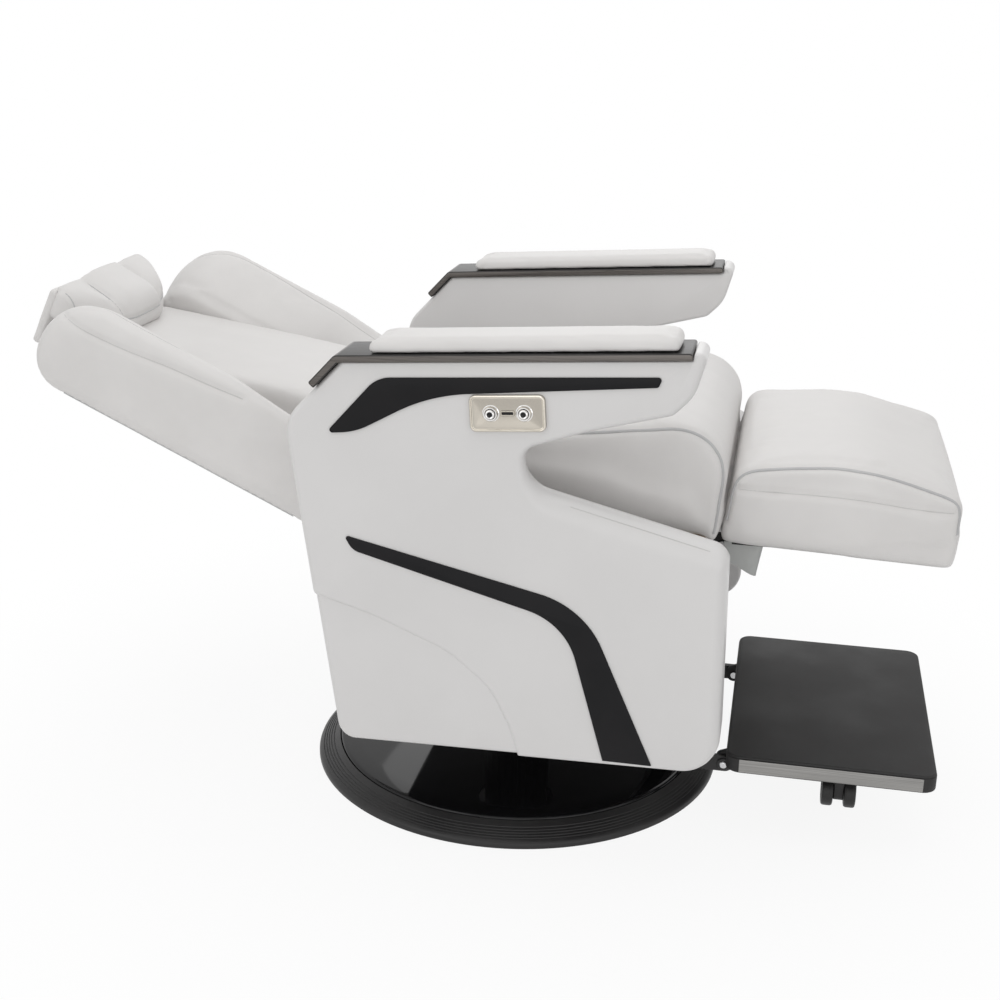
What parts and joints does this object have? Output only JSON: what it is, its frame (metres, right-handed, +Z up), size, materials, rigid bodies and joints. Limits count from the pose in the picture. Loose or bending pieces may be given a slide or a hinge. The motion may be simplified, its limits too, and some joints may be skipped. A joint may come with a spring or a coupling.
{
  "type": "reclining barber chair",
  "caption": "Padded reclining barber chair with armrests, swing-up leg rest, footrest and headrest on a round lifting and turning floor plate.",
  "frame": {"origin": "centre of the round floor plate's underside, on the floor", "axes": "+X the way the sitter faces, +Y to the sitter's left, +Z up"},
  "size_m": [1.4032, 0.7525, 0.7905],
  "materials": {
    "white_leather": "soft white leatherette with a fine grain",
    "white_shell": "satin white moulding",
    "black_inlay": "matt black",
    "bronze_rail": "dark bronze satin",
    "black_gloss": "polished black",
    "black_paint": "satin black powder coat",
    "steel": "turned steel",
    "brushed_steel": "brushed along its length",
    "nickel": "satin champagne",
    "rubber": "matt charcoal",
    "plywood": "bare birch ply"
  },
  "bodies": {
    "base": {"base_disc": "black_paint", "base_cover": "black_gloss", "lift_cylinder": "black_paint", "cylinder_gland": "rubber"},
    "ram": {"lift_ram": "steel", "thrust_bearing": "steel"},
    "back": {"back_frame": "black_paint", "back_shell": "white_leather", "back_pad": "white_leather", "back_wing_left": "white_leather", "back_wing_right": "white_leather", "lever_pin": "steel"},
    "rod": {"recline_rod": "steel"},
    "headrest": {"headrest_pillow": "white_leather", "headrest_flap": "white_leather"},
    "leg_rest": {"leg_frame": "black_paint", "leg_cushion": "white_leather", "leg_apron": "white_leather"},
    "footrest": {"foot_tray": "brushed_steel", "foot_mat": "rubber", "caster_fork_left": "black_paint", "caster_fork_right": "black_paint"},
    "caster_right": {"caster_wheels_right": "rubber"},
    "caster_left": {"caster_wheels_left": "rubber"},
    "button_rear": {"button_rear": "black_gloss"},
    "button_front": {"button_front": "black_gloss"},
    "seat": {"arm_pad_left": "white_leather", "arm_pad_right": "white_leather", "arm_rail_left": "bronze_rail", "arm_rail_right": "bronze_rail", "body_floor": "black_paint", "control_bezel": "nickel", "drive_tube": "steel", "foot_arm_left": "black_paint", "foot_arm_right": "black_paint", "foot_bolt_left": "steel", "foot_bolt_right": "steel", "front_cover": "white_shell", "leg_pin_left": "steel", "leg_pin_right": "steel", "lower_inlay_left": "black_inlay", "lower_inlay_right": "black_inlay", "rear_cover": "white_shell", "recline_motor": "black_paint", "recline_pin_left": "steel", "recline_pin_right": "steel", "seat_cross_front": "black_paint", "seat_cross_rear": "black_paint", "seat_cushion": "white_leather", "seat_pan": "plywood", "seat_side_left": "black_paint", "seat_side_right": "black_paint", "side_liner_left": "white_shell", "side_liner_right": "white_shell", "side_shell_left": "white_shell", "side_shell_right": "white_shell", "socket_insert": "black_gloss", "swivel_plate": "black_paint", "upper_inlay_left": "black_inlay", "upper_inlay_right": "black_inlay"}
  },
  "joints": [
    {"name": "lift", "type": "slide", "parent": "base", "child": "ram", "axis": [0, 0, 1], "range_m": [0, 0.12]},
    {"name": "swivel", "type": "hinge", "parent": "ram", "child": "seat", "pos_m": [0, 0, 0.33], "axis": [0, 0, 1], "continuous": true},
    {"name": "recline", "type": "hinge", "parent": "seat", "child": "back", "pos_m": [-0.17, 0, 0.49], "axis": [0, 1, 0], "range_deg": [0, 52]},
    {"name": "leg_fold", "type": "hinge", "parent": "seat", "child": "leg_rest", "pos_m": [0.324, 0, 0.45], "axis": [0, 1, 0], "range_deg": [0, 74]},
    {"name": "drive_rod", "type": "slide", "parent": "seat", "child": "rod", "axis": [1, 0, 0], "range_m": [-0.06606, 0]},
    {"name": "headrest_slide", "type": "slide", "parent": "back", "child": "headrest", "axis": [-0.9063, 0, 0.4226], "range_m": [0, 0.08]},
    {"name": "foot_tilt", "type": "hinge", "parent": "seat", "child": "footrest", "pos_m": [0.348, 0, 0.095], "axis": [0, -1, 0], "range_deg": [0, 5]},
    {"name": "caster_right_spin", "type": "hinge", "parent": "footrest", "child": "caster_right", "pos_m": [0.526, -0.085, 0.026], "axis": [1, 0, 0], "continuous": true},
    {"name": "caster_left_spin", "type": "hinge", "parent": "footrest", "child": "caster_left", "pos_m": [0.526, 0.085, 0.026], "axis": [1, 0, 0], "continuous": true},
    {"name": "button_rear_press", "type": "slide", "parent": "seat", "child": "button_rear", "axis": [0, 1, 0], "range_m": [0, 0.002], "stiffness_N_per_m": 400},
    {"name": "button_front_press", "type": "slide", "parent": "seat", "child": "button_front", "axis": [0, 1, 0], "range_m": [0, 0.002], "stiffness_N_per_m": 400}
  ],
  "couplings": [
    {"joint": "leg_fold", "follows": "recline", "ratio": 1.4211},
    {"joint": "drive_rod", "follows": "recline", "m_per_rad": -0.072452}
  ]
}
